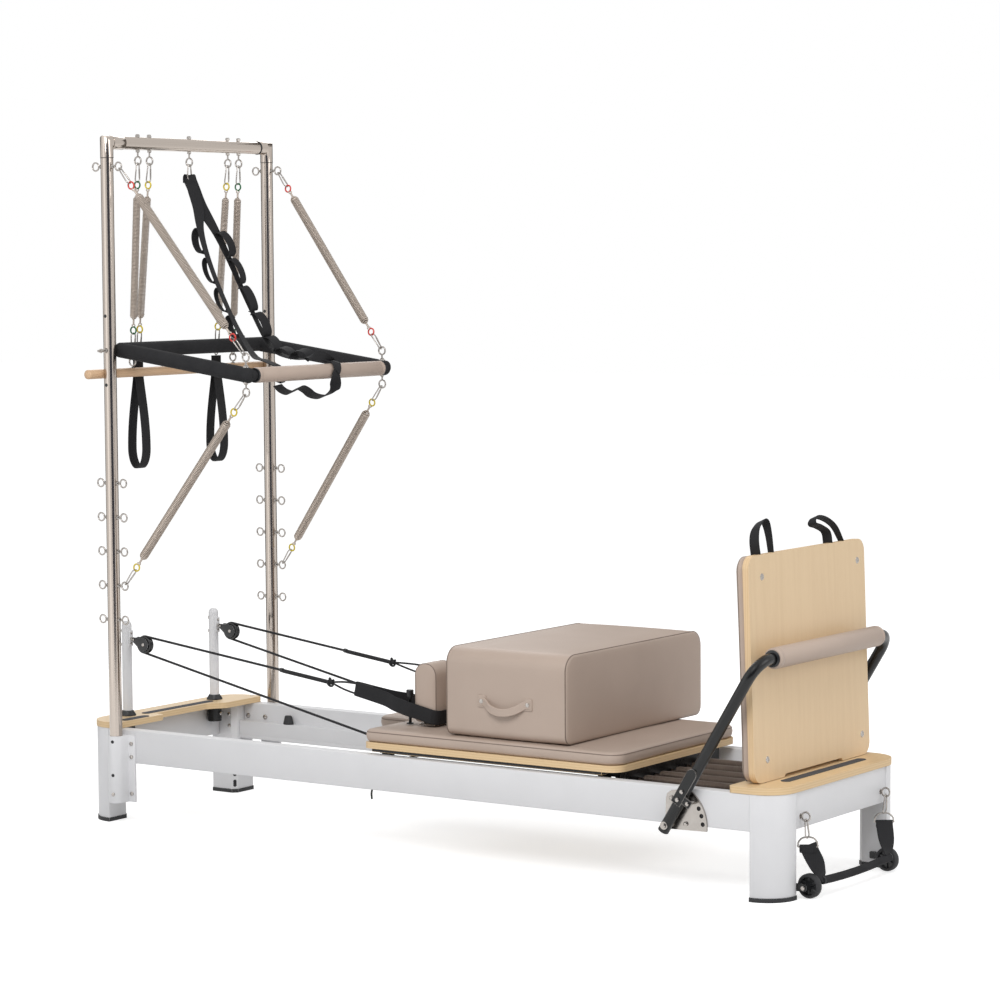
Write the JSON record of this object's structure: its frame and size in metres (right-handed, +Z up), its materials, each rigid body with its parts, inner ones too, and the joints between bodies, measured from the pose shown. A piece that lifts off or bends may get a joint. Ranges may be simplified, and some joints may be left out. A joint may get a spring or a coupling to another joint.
{
  "type": "pilates reformer",
  "caption": "Pilates reformer with a wooden carriage on rails, half tower, push-through bar, roll-down bar, foot bar, jump board and padded sitting box.",
  "frame": {"origin": "on the floor, under the middle of the whole length and width", "axes": "+X to the foot end, +Y to the far side rail, +Z up; the tower stands at the -X end"},
  "size_m": [2.4555, 0.888, 2.059],
  "materials": {
    "powder_coat": "satin",
    "stainless_steel": "satin",
    "bright_zinc": "satin",
    "black_metal": "satin",
    "black_foam": "matte",
    "black_webbing": "matte",
    "black_rubber": "matte",
    "birch_plywood": "satin",
    "beech": "satin",
    "beige_vinyl": "satin",
    "spring_wire": "satin"
  },
  "bodies": {
    "base_frame": {"near_rail": "powder_coat", "far_rail": "powder_coat", "head_beam": "powder_coat", "foot_beam": "powder_coat", "near_head_leg": "powder_coat", "far_head_leg": "powder_coat", "near_foot_leg": "powder_coat", "far_foot_leg": "powder_coat", "head_platform": "birch_plywood", "foot_platform": "birch_plywood", "near_post": "stainless_steel", "far_post": "stainless_steel", "top_bar": "stainless_steel", "near_socket": "powder_coat", "far_socket": "powder_coat", "near_riser": "powder_coat", "far_riser": "powder_coat", "spring_bar": "black_metal", "near_footbar_plate": "bright_zinc", "far_footbar_plate": "bright_zinc", "near_upper_spring": "spring_wire", "far_upper_spring": "spring_wire", "near_lower_spring": "spring_wire", "far_lower_spring": "spring_wire", "loop_strap": "black_webbing", "carriage_springs": "spring_wire"},
    "push_through_bar": {"ptb_frame": "black_foam", "ptb_grip": "beige_vinyl"},
    "roll_down_hanger": {"near_roll_down_spring": "spring_wire", "far_roll_down_spring": "spring_wire"},
    "roll_down_bar": {"roll_down_bar": "beech"},
    "near_loop_hanger": {"near_loop_spring": "spring_wire"},
    "near_hand_loop": {"near_hand_loop": "black_webbing"},
    "far_loop_hanger": {"far_loop_spring": "spring_wire"},
    "far_hand_loop": {"far_hand_loop": "black_webbing"},
    "carriage": {"carriage_board": "birch_plywood", "carriage_pad": "beige_vinyl", "carriage_frame": "black_metal", "near_shoulder_rest": "beige_vinyl", "far_shoulder_rest": "beige_vinyl", "near_foot_strap": "black_webbing", "far_foot_strap": "black_webbing", "near_rope": "black_webbing", "far_rope": "black_webbing"},
    "headrest": {"headrest": "beige_vinyl"},
    "head_wheels": {"head_wheels": "black_rubber"},
    "foot_wheels": {"foot_wheels": "black_rubber"},
    "sitting_box": {"sitting_box": "beige_vinyl", "near_box_handle": "beige_vinyl", "far_box_handle": "beige_vinyl"},
    "jump_board": {"jump_board": "birch_plywood", "jump_pad": "beige_vinyl"},
    "footbar": {"footbar_tube": "black_metal", "footbar_grip": "beige_vinyl"},
    "footbar_latch": {"footbar_latch": "black_metal"},
    "near_sheave": {"near_sheave": "black_metal"},
    "far_sheave": {"far_sheave": "black_metal"},
    "near_transport_wheel": {"near_transport_wheel": "black_rubber"},
    "far_transport_wheel": {"far_transport_wheel": "black_rubber"},
    "foot_handle": {"foot_handle": "black_webbing"}
  },
  "joints": [
    {"name": "carriage_slide", "type": "slide", "parent": "base_frame", "child": "carriage", "axis": [-1, 0, 0], "range_m": [0, 0.72], "stiffness_N_per_m": 250, "springref_m": -0.06, "deforming": ["carriage_springs", "near_rope", "far_rope"]},
    {"name": "headrest_tilt", "type": "hinge", "parent": "carriage", "child": "headrest", "pos_m": [-0.10125, 0, 0.318], "axis": [0, 1, 0], "range_deg": [0, 22]},
    {"name": "head_wheels_spin", "type": "hinge", "parent": "carriage", "child": "head_wheels", "pos_m": [-0.14825, 0, 0.2533], "axis": [0, 1, 0], "range_deg": [-1795.5, 0]},
    {"name": "foot_wheels_spin", "type": "hinge", "parent": "carriage", "child": "foot_wheels", "pos_m": [0.58375, 0, 0.2533], "axis": [0, 1, 0], "range_deg": [-1795.5, 0]},
    {"name": "box_lift", "type": "slide", "parent": "carriage", "child": "sitting_box", "axis": [0, 0, 1], "range_m": [0, 0.3]},
    {"name": "jump_board_lift", "type": "slide", "parent": "base_frame", "child": "jump_board", "axis": [-0.0349, 0, 0.9994], "range_m": [0, 0.35]},
    {"name": "footbar_tilt", "type": "hinge", "parent": "base_frame", "child": "footbar", "pos_m": [0.84575, 0, 0.186], "axis": [0, 1, 0], "range_deg": [0, 36]},
    {"name": "latch_pull", "type": "slide", "parent": "footbar", "child": "footbar_latch", "axis": [0, -1, 0], "range_m": [0, 0.008], "stiffness_N_per_m": 800, "springref_m": -0.002},
    {"name": "ptb_swing", "type": "hinge", "parent": "base_frame", "child": "push_through_bar", "pos_m": [-1.07625, 0, 1.422], "axis": [0, 1, 0], "range_deg": [-40, 40], "stiffness_Nm_per_rad": 30, "springref_deg": -5.17, "deforming": ["near_upper_spring", "far_upper_spring", "near_lower_spring", "far_lower_spring", "loop_strap"]},
    {"name": "roll_down_swing", "type": "hinge", "parent": "base_frame", "child": "roll_down_hanger", "pos_m": [-1.07625, 0, 1.9777], "axis": [0, 1, 0], "range_deg": [0, 40]},
    {"name": "roll_down_stretch", "type": "slide", "parent": "roll_down_hanger", "child": "roll_down_bar", "axis": [0, 0, -1], "range_m": [0, 0.09], "stiffness_N_per_m": 150, "springref_m": -0.00705, "deforming": ["near_roll_down_spring", "far_roll_down_spring"]},
    {"name": "near_loop_swing", "type": "hinge", "parent": "roll_down_hanger", "child": "near_loop_hanger", "pos_m": [-1.07625, -0.185, 1.9777], "axis": [0, 1, 0], "range_deg": [0, 35]},
    {"name": "near_loop_stretch", "type": "slide", "parent": "near_loop_hanger", "child": "near_hand_loop", "axis": [0, 0, -1], "range_m": [0, 0.15], "stiffness_N_per_m": 60, "springref_m": -0.00168, "deforming": ["near_loop_spring"]},
    {"name": "far_loop_swing", "type": "hinge", "parent": "roll_down_hanger", "child": "far_loop_hanger", "pos_m": [-1.07625, 0.185, 1.9777], "axis": [0, 1, 0], "range_deg": [0, 35]},
    {"name": "far_loop_stretch", "type": "slide", "parent": "far_loop_hanger", "child": "far_hand_loop", "axis": [0, 0, -1], "range_m": [0, 0.15], "stiffness_N_per_m": 60, "springref_m": -0.00168, "deforming": ["far_loop_spring"]},
    {"name": "near_sheave_spin", "type": "hinge", "parent": "base_frame", "child": "near_sheave", "pos_m": [-1.10325, -0.207, 0.525], "axis": [0, 1, 0], "continuous": true},
    {"name": "far_sheave_spin", "type": "hinge", "parent": "base_frame", "child": "far_sheave", "pos_m": [-1.10325, 0.207, 0.525], "axis": [0, 1, 0], "continuous": true},
    {"name": "near_transport_spin", "type": "hinge", "parent": "base_frame", "child": "near_transport_wheel", "pos_m": [1.19475, -0.22, 0.034], "axis": [0, 1, 0], "continuous": true},
    {"name": "far_transport_spin", "type": "hinge", "parent": "base_frame", "child": "far_transport_wheel", "pos_m": [1.19475, 0.22, 0.034], "axis": [0, 1, 0], "continuous": true},
    {"name": "foot_handle_swing", "type": "hinge", "parent": "base_frame", "child": "foot_handle", "pos_m": [1.18675, 0, 0.2117], "axis": [0, 1, 0], "range_deg": [-75, 0]}
  ],
  "couplings": [
    {"joint": "head_wheels_spin", "follows": "carriage_slide", "rad_per_m": -43.478},
    {"joint": "foot_wheels_spin", "follows": "carriage_slide", "rad_per_m": -43.478}
  ]
}
